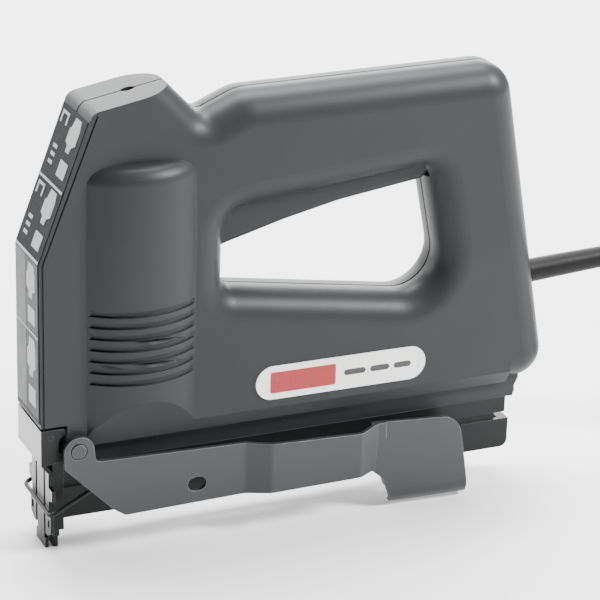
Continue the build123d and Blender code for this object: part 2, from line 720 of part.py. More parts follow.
def power_adjuster():
    """The slotted dial under the hole in the head."""
    dial = rod_z(DIAL_X, 0, PLUNGER_R, 183.5, 187) + rod_z(DIAL_X, 0, 3.0, 186.5, 188.7)
    return dial - box(DIAL_X - 2.5, DIAL_X + 2.5, -0.5, 0.5, 187.8, 189)


def trigger_switch():
    z0, z1 = SWITCH_Z
    case = box(SWITCH_X - 10, SWITCH_X + 10, -5, 5, z0, z1)
    for x in (SWITCH_X - 7, SWITCH_X, SWITCH_X + 7):
        case += box(x - 0.5, x + 0.5, -0.4, 0.4, z1, BOARD_Z[0])
    return case - rod_z(SWITCH_X, 0, PLUNGER_R + RUN_FIT, z0 - 0.5, z1 - 0.9)


def switch_plunger():
    return rod_z(SWITCH_X, 0, PLUNGER_R, 148.0, 158.2)


def terminal_block():
    x0, x1 = TERMINALS_X
    z0, z1 = TERMINALS_Z
    block = box(x0, x1, -8, 8, z0, z1)
    for y in (-4, 4):
        block -= rod_z((x0 + x1) / 2, y, 2.0, z0 + 6, z1)
    return block


def lead_wires():
    """Two cores from the cord's end up to the terminal block."""
    wires = []
    for side in (-1, 1):
        points = [(194.6, side * 1.5, 90.2), (188.0, side * 2.0, 90.0), (188.0, side * 3.4, 107.0)]
        points.append((198, side * 4, TERMINALS_Z[0] - 0.4))
        wires.append(tube_along(points, [5.0, 10.0], CORE_WIRE_R))
    return Compound(wires)


def coil_leads():
    """Two cores from the board forward through the neck to the winding."""
    wires = []
    for side in (-1, 1):
        points = [(89.9, side * 7, 166.8), (78, side * 7, 166.8), (70, side * 9.4, 158)]
        points.append((69.2, side * 10.8, 146))
        points += [(62.0, side * 13.0, 130.0), (57.0, side * 13.3, 122.0)]
        wires.append(tube_along(points, [7.0, 9.0, 9.0, 7.0], COIL_WIRE_R))
    return Compound(wires)


def cord_clamp():
    x, y = CLAMP_SCREW
    saddle = box(CLAMP_X[0], CLAMP_X[1], -9, 9, 0.3, 6) - rod_x(0, 0, CORD_R, -30, 0)
    return CORD_EXIT * (saddle - both(rod_z(x, -y, CLAMP_SCREW_R, 0, 8)))


def clamp_screws():
    x, y = CLAMP_SCREW
    one = rod_z(x, -y, CLAMP_SCREW_R, -5, 6) + rod_z(x, -y, 2.3, 6, 7.6)
    one -= box(x - 2.5, x + 2.5, -y - 0.35, -y + 0.35, 6.8, 8)
    return Compound([CORD_EXIT * one, CORD_EXIT * mirror(one, about=Plane.XZ)])


# ---------------------------------------------------------------- trigger
def trigger():
    points = [
        (76.0, 122.7), (107.9, 131.5), (131.7, 136.9), (169.5, 142.4), (176.2, 149),
        (176.2, 159.4), (164, 159.4),
        (157, 150.6), (77.5, 146.0), (76.0, 144.0),
    ]
    radii = [2, 20, 30, 4, 4, 5.5, 5, 4, 1, 0.8]
    shape = slab(points, -TRIGGER_Y, TRIGGER_Y, radii)
    lower = [
        e for e in shape.edges()
        if abs(abs(e.center().Y) - TRIGGER_Y) < 0.01 and 76 < e.center().X < 172 and e.center().Z < 142.6
    ]
    shape = fillet(lower, TRIGGER_EDGE)
    inner_y = TRIGGER_Y - TRIGGER_WALL
    pocket = slab([(79, 127.0), (99, 132.6), (99, 170), (79, 170)], -inner_y, inner_y)
    pocket += slab([(111, 136.0), (131.7, 141.0), (158, 145.5), (158, 170), (111, 170)], -inner_y, inner_y)
    shape -= pocket
    return shape - rod_y(*TRIGGER_PIVOT, TRIGGER_PIN_R + RUN_FIT, -20, 20)


def trigger_pin():
    return rod_y(*TRIGGER_PIVOT, TRIGGER_PIN_R, -PIN_END_Y, PIN_END_Y)


def trigger_spring():
    return spring((88, 0, 130.8), (0, 0, 1), 153 - 130.8, 3.4, 0.9, 7)


# ---------------------------------------------------------------- magazine
def rail_keys():
    """T-shaped keys that the two shells close over."""
    keys = Part()
    for x in KEY_X:
        keys += box(x, x + KEY_LENGTH, -1.5, 1.5, SPINE_BOTTOM_Z, SPINE_FLOOR_Z)
        keys += box(x, x + KEY_LENGTH, -4, 4, SPINE_FLOOR_Z, SPINE_FLOOR_Z + 2)
    return keys


def magazine_rail():
    """The fixed channel that the magazine slides in."""
    x0 = MAG_X[0]
    top = SPINE_BOTTOM_Z
    web_z = 35.0
    lip_z = 30.9
    rail = box(x0, RAIL_END_X, -RAIL_Y, RAIL_Y, web_z, top)
    rail += both(box(x0, RAIL_END_X, -RAIL_Y, -8.2, lip_z, web_z))
    rail += both(box(x0, RAIL_END_X, -8.2, -7.4, lip_z, lip_z + 1.1))
    rail += box(x0, 196, -4.9, 4.9, 27.2, web_z)
    for x, y in zip(CATCH_SLOT_X, CATCH_SLOT_Y):
        rail -= box(x, RAIL_END_X + 1, -y, y, web_z - 1, top + 1)
    return rail + rail_keys()


def magazine():
    x0, x1 = MAG_X
    z0, z1 = MAG_Z
    case = box(x0, x1, -MAG_Y, MAG_Y, z0, z1)
    case = fillet(case.edges().filter_by(Axis.Y).sort_by(Axis.X)[-2:].sort_by(Axis.Z)[0], 3.5)
    case -= box(x0, x1 - 4.5, -MAG_Y + MAG_WALL, MAG_Y - MAG_WALL, z0 + MAG_WALL, z1 - MAG_WALL)
    case -= box(x0, x1 - 4.5, -6.1, 6.1, z0 + MAG_WALL, z1)
    walls = both(box(x0, RAIL_END_X - 4, -7.0, -6.1, z1, 34.6))
    walls += both(box(x0, RAIL_END_X - 4, -7.9, -7.0, 32.4, 34.6))
    case += walls
    return case - rod_y(*MAG_SCREW, MAG_SCREW_R, -10, -6)


def magazine_screw():
    x, z = MAG_SCREW
    head = rod_y(x, z, 2.6, -9.3, -MAG_Y)
    shank = rod_y(x, z, MAG_SCREW_R, -MAG_Y, -6.8)
    slot = Pos(x, -9.3, z) * Rot(0, 50, 0) * box(-3, 3, -0.5, 0.6, -0.4, 0.4)
    return head + shank - slot


def staple_core():
    z0, z1 = CORE_Z
    x0 = MAG_X[0]
    core = box(x0 + 0.5, 212, -CORE_Y, CORE_Y, z0, z1)
    core -= box(x0 + 2.5, 211, -CORE_Y + 0.9, CORE_Y - 0.9, z0, z1 - 0.9)
    return core - box(x0 + 2.5, 205, -1.1, 1.1, z1 - 2, z1 + 1)


def guide_rod():
    return rod_x(0, GUIDE_Z, GUIDE_R, MAG_X[0] + 2.5, GUIDE_END_X)


def pusher():
    """The saddle that rides on the staples' core, hung from the guide rod."""
    x0 = MAG_X[0] + 3.0
    x1 = x0 + PUSHER_LENGTH
    saddle = box(x0, x1, -5.8, 5.8, 16.0, 26.8) - box(x0, x1, -CORE_Y - 0.3, CORE_Y + 0.3, 15, 26.1)
    tongue = box(x0 + 1, x1 - 1, -0.8, 0.8, GUIDE_Z, 26.4)
    slider = box(x0 + 1, x1 - 1, -3.0, 3.0, GUIDE_Z - 3.5, GUIDE_Z + 3.5)
    return saddle + tongue + slider - rod_x(0, GUIDE_Z, GUIDE_R + RUN_FIT, x0 - 1, x1 + 1)


def pusher_spring():
    start = MAG_X[0] + 3.0 + PUSHER_LENGTH - 1
    return spring((start, 0, GUIDE_Z), (1, 0, 0), GUIDE_END_X - start, 2.2, 0.6, 34)


def magazine_catch():
    head = rod_x(0, CATCH_Z, 2.6, RAIL_END_X + 0.3, 222.5)
    head = fillet(head.edges().sort_by(Axis.X)[-1], 1.6)
    return head + rod_x(0, CATCH_Z, 1.5, 203, RAIL_END_X + 0.3)


def catch_spring():
    return spring((198, 0, CATCH_Z), (1, 0, 0), 5.0, 1.4, 0.5, 3)


# ---------------------------------------------------------------- cord
def cord_sleeve():
    """Tapered bend guard with a collar inside the housing."""
    guard = Pos(SLEEVE_LENGTH / 2, 0, 0) * Rot(0, 90, 0) * Cone(*SLEEVE_R, SLEEVE_LENGTH)
    neck = rod_x(0, 0, SLEEVE_R[0], -5.2, 0)
    collar = rod_x(0, 0, 7.0, -7.4, -5.2)
    return CORD_EXIT * (guard + neck + collar - rod_x(0, 0, CORD_R, -10, SLEEVE_LENGTH))


def inner_cord():
    return CORD_EXIT * rod_x(0, 0, CORD_R, -30, SLEEVE_LENGTH)


def cord_points():
    start = CORD_EXIT * Pos(SLEEVE_LENGTH, 0, 0)
    ahead = CORD_EXIT * Pos(SLEEVE_LENGTH + 22, 0, 0)
    points = [tuple(start.position), tuple(ahead.position)]
    points += [(323.5, -4.5, 87.5), (341.0, -11.5, 71.0), (358.0, -19.0, 52.5), (376.5, -26.0, 37.0)]
    return points + [(398.0, -29.5, 27.5), (419.0, -30.0, 25.2)]


def power_cord():
    points = cord_points()
    radii = bend_radii(points)
    print("power_cord bend radii", [round(r, 1) for r in radii])
    return tube_along(points, radii, CORD_R)


def lead_points():
    points = [(430.0, 22.8, 25.2), (416.5, 22.0, 26.6), (400.5, 18.6, 31.0), (384.5, 13.5, 34.6)]
    return points + [(369.0, 8.7, HANK_HEIGHT + PLUG_HALF_HEIGHT)]


def plug_lead():
    points = lead_points()
    radii = bend_radii(points)
    print("plug_lead bend radii", [round(r, 1) for r in radii])
    return tube_along(points, radii, CORD_R)


def hank(inset):
    """The long loop of folded cord, taken in by inset on every face."""
    length = HANK_X[1] - HANK_X[0] - 2 * inset
    height = HANK_HEIGHT - 2 * inset
    width = HANK_WIDTH - 2 * inset
    hollow = HANK_HOLLOW + 2 * inset
    loop = extrude(SlotOverall(length, width), amount=height)
    loop -= extrude(SlotOverall(length - width + hollow, hollow), amount=height)
    loop = fillet(loop.edges().group_by(Axis.Z)[0] + loop.edges().group_by(Axis.Z)[-1], HANK_EDGE)
    return Pos((HANK_X[0] + HANK_X[1]) / 2, 0, inset) * loop


def cord_tie():
    """A band round the bundle at the end away from the tool."""
    x0 = HANK_X[1] - (HANK_WIDTH - HANK_HOLLOW) / 2
    near_end = box(x0 - 3, HANK_X[1] + 1, -TIE_WIDTH / 2, TIE_WIDTH / 2, 0, HANK_HEIGHT)
    return (near_end & hank(0)) - hank(TIE_T)


def power_cord_coil(cord, lead, tie):
    return hank(0) - cord - lead - tie


def plug_place():
    """The plug lies flat on the folded cord, in line with the lead's last run."""
    before, last = (Vector(*p) for p in lead_points()[-2:])
    run = last - before
    return Pos(last.X, last.Y, last.Z) * Rot(0, 0, math.degrees(math.atan2(run.Y, run.X)))


def mains_plug():
    body_part = box(0, 37, -17.65, 17.65, -PLUG_HALF_HEIGHT, PLUG_HALF_HEIGHT)
    body_part = fillet(body_part.edges().filter_by(Axis.Z), 7.0)
    body_part = fillet(body_part.edges().group_by(Axis.Z)[0] + body_part.edges().group_by(Axis.Z)[-1], 2.0)
    return plug_place() * (body_part - both(rod_x(-9.3, 0, 2.0, 30, 40)))


def plug_pins():
    pin = fillet(rod_x(-9.3, 0, 2.0, 30, 56).edges().sort_by(Axis.X)[-1], 1.2)
    return Compound([plug_place() * pin, plug_place() * mirror(pin, about=Plane.XZ)])


# ---------------------------------------------------------------- export
def main():
    whole = housing()
    cord = power_cord()
    lead = plug_lead()
    tie = cord_tie()
    nodes = {
        "left_shell": left_shell(whole),
        "right_shell": right_shell(whole),
        "shell_screws": shell_screws(),
        "front_label": front_label(),
        "side_label_left": side_label(-1),
        "side_label_right": side_label(1),
        "nose_frame": nose_frame(),
        "frame_screws": frame_screws(),
        "nose_plate": nose_plate(),
        "nose_hinge_pins": nose_hinge_pins(),
        "latch_lever": latch_lever(),
        "lever_stud": lever_stud(),
        "far_link": far_link(),
        "far_stud": mirror(lever_stud(), about=Plane.XZ),
        "wire_bail": wire_bail(),
        "solenoid_coil": solenoid_coil(),
        "coil_bobbin": coil_bobbin(),
        "solenoid_yoke": solenoid_yoke(),
        "armature": armature(),
        "push_rod": push_rod(),
        "return_spring": return_spring(),
        "driver_carrier": driver_carrier(),
        "driver_blade": driver_blade(),
        "rubber_bumper": rubber_bumper(),
        "circuit_board": circuit_board(),
        "capacitor": capacitor(),
        "thyristor": thyristor(),
        "choke": choke(),
        "adjuster_board": adjuster_board(),
        "adjuster_body": adjuster_body(),
        "power_adjuster": power_adjuster(),
        "trigger_switch": trigger_switch(),
        "switch_plunger": switch_plunger(),
        "terminal_block": terminal_block(),
        "lead_wires": lead_wires(),
        "coil_leads": coil_leads(),
        "cord_clamp": cord_clamp(),
        "clamp_screws": clamp_screws(),
        "trigger": trigger(),
        "trigger_pin": trigger_pin(),
        "trigger_spring": trigger_spring(),
        "magazine_rail": magazine_rail(),
        "magazine": magazine(),
        "magazine_screw": magazine_screw(),
        "staple_core": staple_core(),
        "guide_rod": guide_rod(),
        "pusher": pusher(),
        "pusher_spring": pusher_spring(),
        "magazine_catch": magazine_catch(),
        "catch_spring": catch_spring(),
        "cord_sleeve": cord_sleeve(),
        "inner_cord": inner_cord(),
        "power_cord": cord,
        "power_cord_coil": power_cord_coil(cord, lead, tie),
        "plug_lead": lead,
        "cord_tie": tie,
        "mains_plug": mains_plug(),
        "plug_pins": plug_pins(),
    }
    os.makedirs("parts", exist_ok=True)
    shift = Pos(-GRIP[0], -GRIP[1], -GRIP[2])
    for name, shape in nodes.items():
        solids = shape.solids()
        print(name, len(solids), "solids", round(sum(s.volume for s in solids), 1), "mm3")
        moved = [shift * s for s in solids]
        export_step(moved[0] if len(moved) == 1 else Compound(moved), "parts/" + name + ".step")


main()
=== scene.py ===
"""Hand-held electric stapler: cord, detail meshes, materials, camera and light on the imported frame.

Places are given in millimetres from the tool's front face (x), middle plane (y) and nose tip (z),
and at() turns them into the frame's metres.
"""
import math

import bmesh
import bpy
from mathutils import Matrix, Vector


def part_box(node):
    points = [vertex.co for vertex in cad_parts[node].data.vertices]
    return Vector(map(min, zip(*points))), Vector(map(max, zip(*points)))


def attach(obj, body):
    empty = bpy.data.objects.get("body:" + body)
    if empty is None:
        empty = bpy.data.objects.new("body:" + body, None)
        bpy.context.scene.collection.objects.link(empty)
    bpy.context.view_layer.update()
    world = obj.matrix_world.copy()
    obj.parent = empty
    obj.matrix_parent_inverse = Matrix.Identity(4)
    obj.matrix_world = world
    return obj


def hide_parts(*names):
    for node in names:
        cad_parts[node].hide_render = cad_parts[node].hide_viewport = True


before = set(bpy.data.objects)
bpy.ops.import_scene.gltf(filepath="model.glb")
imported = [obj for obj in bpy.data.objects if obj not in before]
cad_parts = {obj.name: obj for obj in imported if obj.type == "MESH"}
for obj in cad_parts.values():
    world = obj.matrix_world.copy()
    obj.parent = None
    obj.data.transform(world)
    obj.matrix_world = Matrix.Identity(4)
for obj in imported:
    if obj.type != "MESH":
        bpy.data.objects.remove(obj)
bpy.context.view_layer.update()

GRIP = Vector((0.125, 0.0, 0.167))
FLOOR_Z = -GRIP.z


def at(x, y, z):
    return Vector((x, y, z)) / 1000 - GRIP


# ---------------------------------------------------------------- camera and light
CAMERA_PLACE = (-286.7, -907.2, 488.1)
CAMERA_TURN = (24.07, 21.71, 1.70)
LENS = 153.7
SENSOR = 36

# name, place and size in metres, power in watts; each one faces the middle of the tool
SOFTBOXES = [
    ("top_softbox", (0.15, 0.5, 1.35), (1.2, 0.8), 88),
    ("back_softbox", (0.4, 1.7, 0.5), (2.2, 0.9), 78),
    ("key_softbox", (1.2, -0.8, 1.1), (0.5, 0.6), 95),
    ("front_softbox", (-1.0, 0.9, 0.35), (0.7, 0.7), 16),
]
LIT_POINT = (110, 0, 90)
WORLD_STRENGTH = 0.1
FLOOR_HALF = 6.0


def add_camera():
    """The camera stands in front of the tool's left side and a little above it."""
    data = bpy.data.cameras.new("camera")
    data.lens = LENS
    data.sensor_width = SENSOR
    data.clip_start = 0.05
    azimuth, elevation, roll = (math.radians(a) for a in CAMERA_TURN)
    level = math.cos(elevation)
    look = Vector((math.sin(azimuth) * level, math.cos(azimuth) * level, -math.sin(elevation)))
    side = Vector((math.cos(azimuth), -math.sin(azimuth), 0))
    up = side.cross(look)
    right = side * math.cos(roll) + up * math.sin(roll)
    top = up * math.cos(roll) - side * math.sin(roll)
    turn = Matrix((right, top, -look)).transposed().to_4x4()
    camera = bpy.data.objects.new("camera", data)
    bpy.context.collection.objects.link(camera)
    camera.matrix_world = Matrix.Translation(at(*CAMERA_PLACE)) @ turn
    bpy.context.scene.camera = camera


def add_softbox(name, place, size, power):
    data = bpy.data.lights.new(name, "AREA")
    data.shape = "RECTANGLE"
    data.size, data.size_y = size
    data.energy = power
    lamp = bpy.data.objects.new(name, data)
    bpy.context.collection.objects.link(lamp)
    lamp.location = place
    lamp.rotation_euler = (at(*LIT_POINT) - Vector(place)).to_track_quat("-Z", "Y").to_euler()


def add_stage():
    """A plain pale floor, a soft surround and the softboxes."""
    mesh = bpy.data.meshes.new("floor")
    corners = [(x * FLOOR_HALF, y * FLOOR_HALF, FLOOR_Z) for x, y in ((-1, -1), (1, -1), (1, 1), (-1, 1))]
    mesh.from_pydata(corners, [], [(0, 1, 2, 3)])
    floor = bpy.data.objects.new("floor", mesh)
    bpy.context.collection.objects.link(floor)
    paper = surface("floor_paper", (0.8, 0.8, 0.8), 0.9, spread=0.01, grain=300, depth=0.00001)
    mesh.materials.append(paper)

    world = bpy.data.worlds.new("studio")
    bpy.context.scene.world = world
    world.use_nodes = True
    background = world.node_tree.nodes["Background"]
    background.inputs["Color"].default_value = (1, 1, 1, 1)
    background.inputs["Strength"].default_value = WORLD_STRENGTH
    for softbox in SOFTBOXES:
        add_softbox(*softbox)


# ---------------------------------------------------------------- materials
ROUGH_SPREAD = 0.08
BEVEL_SAMPLES = 4
# how far an edge has to bend before it gets the painted edge highlight, and the scale of the breaks in that
# highlight
GLINT_BEND = (0.86, 0.985)
GLINT_BREAK_SCALE = 160
# the levels between which the painted reflection on front faces fades into painted shade, how dark that
# painted shade ends, and which way counts as forwards
FRONT_FADE = (at(0, 0, 10).z, at(0, 0, 46).z)
FRONT_SHADE = 0.06
FORWARDS = (-0.9, -0.5)


def surface(name, colour, rough, spread=0.08, metallic=0.0, grain=1400, depth=0.00002, mottle=25,
            stretch=(1, 1, 1), edge=0.0, edge_glint=None, shine=0.5, coat=0.0, front=None):
    """A procedural surface: patchy colour, uneven gloss, fine grain, softened edges and a painted highlight
    on sharp edges.

    front is a painted reflection of the front light on the faces that look forwards, fading to painted shade
    by the nose tip.
    """
    mat = bpy.data.materials.new(name)
    mat.use_nodes = True
    nodes, links = mat.node_tree.nodes, mat.node_tree.links
    shader = nodes["Principled BSDF"]
    shader.inputs["Metallic"].default_value = metallic
    shader.inputs["Coat Weight"].default_value = coat
    shader.inputs["Specular IOR Level"].default_value = shine

    place = nodes.new("ShaderNodeTexCoord")
    scaled = nodes.new("ShaderNodeMapping")
    scaled.inputs["Scale"].default_value = stretch
    links.new(place.outputs["Object"], scaled.inputs["Vector"])

    def noise(scale, detail, vector):
        node = nodes.new("ShaderNodeTexNoise")
        node.inputs["Scale"].default_value = scale
        node.inputs["Detail"].default_value = detail
        links.new(vector, node.inputs["Vector"])
        return node.outputs["Fac"]

    def span(value, low, high, start=0.3, end=0.7):
        node = nodes.new("ShaderNodeMapRange")
        node.inputs["From Min"].default_value = start
        node.inputs["From Max"].default_value = end
        node.inputs["To Min"].default_value = low
        node.inputs["To Max"].default_value = high
        links.new(value, node.inputs["Value"])
        return node.outputs["Result"]

    def mix(factor, under, over):
        node = nodes.new("ShaderNodeMix")
        node.data_type = "RGBA"
        links.new(factor, node.inputs["Factor"])
        for socket, value in ((node.inputs[6], under), (node.inputs[7], over)):
            if isinstance(value, tuple):
                socket.default_value = (*value, 1)
            else:
                links.new(value, socket)
        return node.outputs[2]

    dark = tuple(c * (1 - spread) for c in colour)
    light = tuple(min(1, c * (1 + spread)) for c in colour)
    result = mix(span(noise(mottle, 4.0, place.outputs["Object"]), 0, 1), dark, light)
    # painted reflection: faces that look forwards take the lighter front colour, which fades to painted
    # shade towards the nose tip
    if front:
        axes = nodes.new("ShaderNodeSeparateXYZ")
        links.new(place.outputs["Normal"], axes.inputs["Vector"])
        height = nodes.new("ShaderNodeSeparateXYZ")
        links.new(place.outputs["Object"], height.inputs["Vector"])
        shaded_front = tuple(FRONT_SHADE * c for c in front)
        reflection_to_shade = mix(span(height.outputs["Z"], 1, 0, *FRONT_FADE), front, shaded_front)
        result = mix(span(axes.outputs["X"], 1, 0, *FORWARDS), result, reflection_to_shade)
    if edge:
        softened = nodes.new("ShaderNodeBevel")
        softened.samples = BEVEL_SAMPLES
        softened.inputs["Radius"].default_value = edge
    # painted edge highlight: sharp edges turn lighter, as where they catch the light, in broken patches
    if edge_glint:
        geometry = nodes.new("ShaderNodeNewGeometry")
        turn = nodes.new("ShaderNodeVectorMath")
        turn.operation = "DOT_PRODUCT"
        links.new(softened.outputs["Normal"], turn.inputs[0])
        links.new(geometry.outputs["Normal"], turn.inputs[1])
        glint_mask = span(turn.outputs["Value"], 1, 0, *GLINT_BEND)
        broken_glint = nodes.new("ShaderNodeMath")
        broken_glint.operation = "MULTIPLY"
        links.new(glint_mask, broken_glint.inputs[0])
        links.new(span(noise(GLINT_BREAK_SCALE, 3.0, place.outputs["Object"]), 0.45, 1.0), broken_glint.inputs[1])
        result = mix(broken_glint.outputs["Value"], result, edge_glint)
    links.new(result, shader.inputs["Base Color"])

    fine = noise(grain, 3.0, scaled.outputs["Vector"])
    links.new(span(fine, rough - ROUGH_SPREAD, rough + ROUGH_SPREAD), shader.inputs["Roughness"])
    bump = nodes.new("ShaderNodeBump")
    bump.inputs["Strength"].default_value = 1.0
    bump.inputs["Distance"].default_value = depth
    links.new(fine, bump.inputs["Height"])
    if edge:
        links.new(softened.outputs["Normal"], bump.inputs["Normal"])
    links.new(bump.outputs["Normal"], shader.inputs["Normal"])
    return mat


def paint(mat, *names):
    for name in names:
        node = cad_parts[name]
        for slot in node.material_slots:
            slot.link = "OBJECT"
            slot.material = mat


HOUSING = surface(
    "housing_plastic", (0.025, 0.0265, 0.028), 0.42, spread=0.05, grain=2200, depth=0.00003,
    edge=0.0004, shine=0.16,
)
TRIGGER = surface(
    "trigger_plastic", (0.018, 0.019, 0.02), 0.46, spread=0.05, grain=2200, depth=0.00003, edge=0.0003,
    shine=0.2,
)
LABEL_WHITE = surface("label_white", (0.86, 0.86, 0.84), 0.35, spread=0.02, grain=600, depth=0.000004)
LABEL_RED = surface("label_red", (0.3, 0.006, 0.01), 0.35, spread=0.04, grain=600, depth=0.000004)
LABEL_INK = surface("label_ink", (0.025, 0.025, 0.026), 0.4, spread=0.06, grain=600, depth=0.000004)
STRIP_DARK = surface(
    "strip_dark", (0.02, 0.0215, 0.024), 0.6, spread=0.05, grain=500, depth=0.000004, shine=0.05,
)
STRIP_GREY = surface(
    "strip_grey", (0.07, 0.0717, 0.074), 0.55, spread=0.1, grain=500, depth=0.000004, mottle=60,
    shine=0.1,
)
STRIP_PALE = surface(
    "strip_pale", (0.14, 0.1424, 0.1456), 0.55, spread=0.16, grain=500, depth=0.000004, mottle=60,
    shine=0.1,
)
STRIP_LIGHT = surface(
    "strip_light", (0.36, 0.364, 0.368), 0.5, spread=0.05, grain=500, depth=0.000004, shine=0.1,
)
# nose steel: the dark base is partly the steel's own dark finish and partly painted shade for the dark
# reflection on its sides; forward faces carry a painted reflection fading to painted shade at the tip, and
# sharp edges a painted highlight
NOSE_STEEL = surface(
    "nose_steel", (0.011, 0.0115, 0.012), 0.4, metallic=0.2, stretch=(1, 1, 0.06), grain=900,
    depth=0.000008, edge=0.0003, edge_glint=(0.2, 0.2, 0.2), shine=0.2, front=(0.4, 0.4, 0.4),
)
# dark steel: its sharp edges carry a painted highlight
DARK_STEEL = surface(
    "dark_steel", (0.01, 0.0105, 0.011), 0.38, metallic=0.2, stretch=(0.1, 1, 1), grain=900,
    depth=0.000008, edge=0.0003, edge_glint=(0.1, 0.1, 0.105), shine=0.2,
)
# lever paint: its sharp edges carry a painted highlight, the light line along the lever's top edge
LEVER_PAINT = surface(
    "lever_paint", (0.03, 0.0325, 0.034), 0.36, spread=0.05, metallic=0.1, grain=1500, depth=0.00001,
    edge=0.0004, edge_glint=(0.3, 0.3, 0.3), shine=0.4,
)
ZINC = surface(
    "zinc", (0.5, 0.5, 0.5), 0.3, metallic=1.0, spread=0.12, mottle=240, grain=1200, depth=0.000006,
    edge=0.0002,
)
DARK_ZINC = surface(
    "dark_zinc", (0.09, 0.092, 0.095), 0.32, metallic=0.7, spread=0.1, mottle=240, grain=1200,
    depth=0.000006, edge=0.0002,
)
SPRING_STEEL = surface("spring_steel", (0.4, 0.4, 0.41), 0.28, metallic=1.0, grain=2000, depth=0.000004)
PLAIN_STEEL = surface(
    "plain_steel", (0.34, 0.33, 0.32), 0.4, metallic=1.0, stretch=(1, 1, 0.1), grain=900, depth=0.00001,
    edge=0.0003,
)
COPPER = surface(
    "copper_winding", (0.62, 0.24, 0.09), 0.32, metallic=0.9, stretch=(0.02, 0.02, 1), grain=1800,
    depth=0.0002,
)
NYLON = surface("nylon", (0.62, 0.58, 0.46), 0.45, spread=0.05, grain=900, depth=0.00001, edge=0.0003)
RUBBER = surface("black_rubber", (0.018, 0.018, 0.019), 0.62, spread=0.1, grain=1300, depth=0.00003)
CORD_RUBBER = surface(
    "cord_rubber", (0.007, 0.007, 0.0075), 0.5, spread=0.08, grain=900, depth=0.00002, shine=0.14,
)
BOARD = surface(
    "board_lacquer", (0.02, 0.11, 0.035), 0.3, spread=0.2, mottle=300, grain=1500, depth=0.00001,
    coat=0.3,
)
EPOXY = surface("moulded_epoxy", (0.02, 0.02, 0.023), 0.3, grain=1800, depth=0.00001, edge=0.0002)
BLUE_SLEEVE = surface("blue_sleeve", (0.02, 0.06, 0.25), 0.28, grain=900, depth=0.000006)
KNOB = surface(
    "knob_plastic", (0.16, 0.163, 0.165), 0.36, spread=0.06, grain=1200, depth=0.00001, edge=0.0003,
)
WIRE = surface("wire_insulation", (0.03, 0.09, 0.36), 0.35, grain=1500, depth=0.00001)
PLUG_RUBBER = surface(
    "plug_rubber", (0.02, 0.02, 0.021), 0.5, spread=0.08, grain=1600, depth=0.00003, edge=0.0004,
)
TIE = surface("tie_plastic", (0.02, 0.02, 0.021), 0.38, spread=0.1, grain=1500, depth=0.00002)


def paint_cad():
    paint(HOUSING, "left_shell", "right_shell")
    paint(TRIGGER, "trigger")
    paint(STRIP_DARK, "front_label")
    paint(LABEL_WHITE, "side_label_left", "side_label_right")
    paint(NOSE_STEEL, "nose_plate")
    paint(DARK_STEEL, "nose_frame", "magazine", "magazine_rail")
    paint(LEVER_PAINT, "latch_lever", "far_link", "lever_stud", "far_stud")
    paint(ZINC, "shell_screws")
    paint(DARK_ZINC, "frame_screws", "magazine_screw")
    paint(ZINC, "clamp_screws", "trigger_pin", "staple_core", "guide_rod", "pusher", "plug_pins", "push_rod")
    paint(DARK_STEEL, "wire_bail", "nose_hinge_pins")
    paint(SPRING_STEEL, "return_spring", "trigger_spring", "pusher_spring", "catch_spring", "driver_blade")
    paint(PLAIN_STEEL, "armature", "solenoid_yoke", "driver_carrier")
    paint(COPPER, "solenoid_coil", "choke")
    paint(NYLON, "coil_bobbin", "cord_clamp", "switch_plunger", "terminal_block", "power_adjuster")
    paint(RUBBER, "rubber_bumper")
    paint(CORD_RUBBER, "cord_sleeve", "inner_cord")
    paint(BOARD, "circuit_board", "adjuster_board")
    paint(EPOXY, "thyristor", "trigger_switch")
    paint(BLUE_SLEEVE, "capacitor", "adjuster_body")
    paint(KNOB, "magazine_catch")
    paint(WIRE, "lead_wires", "coil_leads")
    paint(PLUG_RUBBER, "mains_plug")


# ---------------------------------------------------------------- sheet pieces
def rounded(points, radius, steps=5):
    """A closed outline with each corner turned into an arc."""
    result = []
    for k, point in enumerate(points):
        here = Vector(point)
        before = (Vector(points[k - 1]) - here).normalized()
        after = (Vector(points[(k + 1) % len(points)]) - here).normalized()
        half = before.angle(after) / 2
        reach = radius / math.tan(half)
        centre = here + (before + after).normalized() * radius / math.sin(half)
        start = here + before * reach - centre
        end = here + after * reach - centre
        for i in range(steps + 1):
            blend = start.lerp(end, i / steps).normalized() * radius
            result.append(centre + blend)
    return result


def capsule(x, z, length, height, steps=14):
    """A level stadium outline."""
    r = height / 2
    result = []
    for side in (1, -1):
        middle = x + side * (length / 2 - r)
        for i in range(steps + 1):
            angle = side * math.pi / 2 - math.pi * i / steps
            result.append(Vector((middle + r * math.cos(angle), z + r * math.sin(angle))))
    return result


def film(name, shapes, place, mat, thick=0.12):
    """Thin pieces of printed film: place() puts a point of an outline on the surface it lies on."""
    mesh = bpy.data.meshes.new(name)
    bm = bmesh.new()
    for shape in shapes:
        low = [bm.verts.new(place(u, v, 0.0)) for u, v in shape]
        high = [bm.verts.new(place(u, v, thick)) for u, v in shape]
        bm.faces.new(low)
        bm.faces.new(high[::-1])
        for k in range(len(shape)):
            bm.faces.new((low[k - 1], low[k], high[k], high[k - 1]))
    bmesh.ops.recalc_face_normals(bm, faces=bm.faces)
    bm.to_mesh(mesh)
    bm.free()
    mesh.materials.append(mat)
    piece = bpy.data.objects.new(name, mesh)
    bpy.context.collection.objects.link(piece)
    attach(piece, "housing")
    return piece


# the strip on the front face runs up to a bend and then leans back with the head
STRIP_T = 0.37
STRIP_Y = 14.2
BEND_Z = 128.0
LEAN = math.atan(0.37)
PANEL = 30.0
LOWER_DIVIDER = -31.4
LOWER_END = -67.0
FRAME_LINE = 0.3
COLUMNS = (0.45, 0.47)
TINT_T = 0.05
